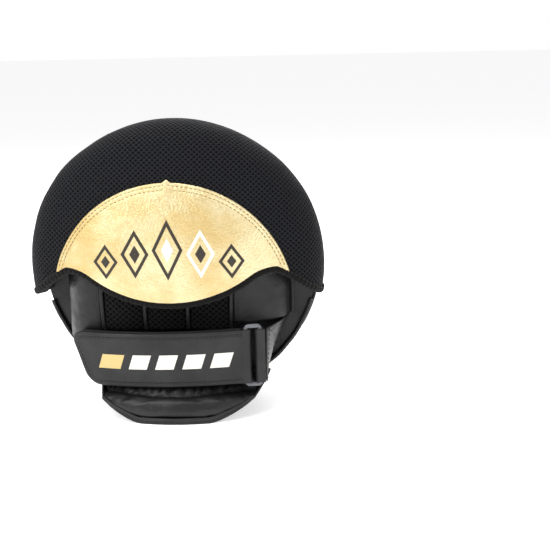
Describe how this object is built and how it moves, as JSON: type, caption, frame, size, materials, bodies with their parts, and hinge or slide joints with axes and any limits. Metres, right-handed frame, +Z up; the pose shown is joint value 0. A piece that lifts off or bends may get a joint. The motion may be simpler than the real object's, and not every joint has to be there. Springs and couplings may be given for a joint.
{
  "type": "focus mitt",
  "caption": "Round padded striking mitt with a dished target face, laced side wall, hooded hand pocket, hook-and-loop wrist strap and padded cuff.",
  "frame": {"origin": "centre of the footprint box on the ground, where the mitt stands on its cuff and laced edge", "axes": "+Z up; +Y out of the striking face; +X to the right when the hooded back is looked at"},
  "size_m": [0.231, 0.11, 0.2286],
  "materials": {
    "gold_leather": "satin",
    "black_leather": "satin",
    "black_print": "satin",
    "white_print": "satin",
    "spacer_mesh": "matte",
    "binding_tape": "matte",
    "lining_cloth": "matte",
    "foam": "matte",
    "fibre_board": "matte",
    "lace_cord": "satin",
    "grey_plastic": "satin",
    "touch_pile": "matte"
  },
  "bodies": {
    "pad": {"back_panel": "black_leather", "backing_board": "fibre_board", "core_foam": "foam", "face_panel": "gold_leather", "face_welt": "binding_tape", "hood_badge": "gold_leather", "hood_lining": "lining_cloth", "hood_mesh": "spacer_mesh", "hood_padding": "foam", "hood_tape": "binding_tape", "impact_foam": "foam", "knuckle_mesh_left": "spacer_mesh", "knuckle_mesh_middle": "spacer_mesh", "knuckle_mesh_right": "spacer_mesh", "lace": "lace_cord", "lacing_tongue": "black_leather", "loop_pile": "touch_pile", "palm_ball_cover": "black_leather", "palm_ball_foam": "foam", "rear_roll": "black_leather", "rib_1": "black_leather", "rib_2": "black_leather", "rib_3": "black_leather", "rib_4": "black_leather", "ring_tab": "black_leather", "side_edging": "black_leather", "side_panel": "black_leather", "strap_anchor": "black_leather", "strap_base": "black_leather", "tab_loop": "black_leather", "target_bullseye": "black_print", "target_ring_inner": "white_print", "target_ring_middle": "white_print", "target_ring_outer": "white_print", "thumb_sleeve": "black_leather", "wall_lower": "black_leather", "wall_upper": "black_leather"},
    "ring": {"strap_ring": "grey_plastic"},
    "flap": {"strap_flap": "black_leather", "strap_turn": "black_leather", "hook_pile": "touch_pile"},
    "cuff": {"cuff_shell": "black_leather", "cuff_cushion": "black_leather", "cuff_foam": "foam", "cuff_flange": "black_leather"}
  },
  "joints": [
    {"name": "ring_swing", "type": "hinge", "parent": "pad", "child": "ring", "pos_m": [0.06647, -0.03078, 0.049], "axis": [0, 0, 1], "range_deg": [0, 30]},
    {"name": "flap_peel", "type": "hinge", "parent": "ring", "child": "flap", "pos_m": [0.056, -0.033, 0.049], "axis": [0, 0, 1], "range_deg": [0, 120]},
    {"name": "cuff_flex", "type": "hinge", "parent": "pad", "child": "cuff", "pos_m": [0, 0.013, 0.004], "axis": [1, 0, 0], "range_deg": [0, 25]}
  ]
}
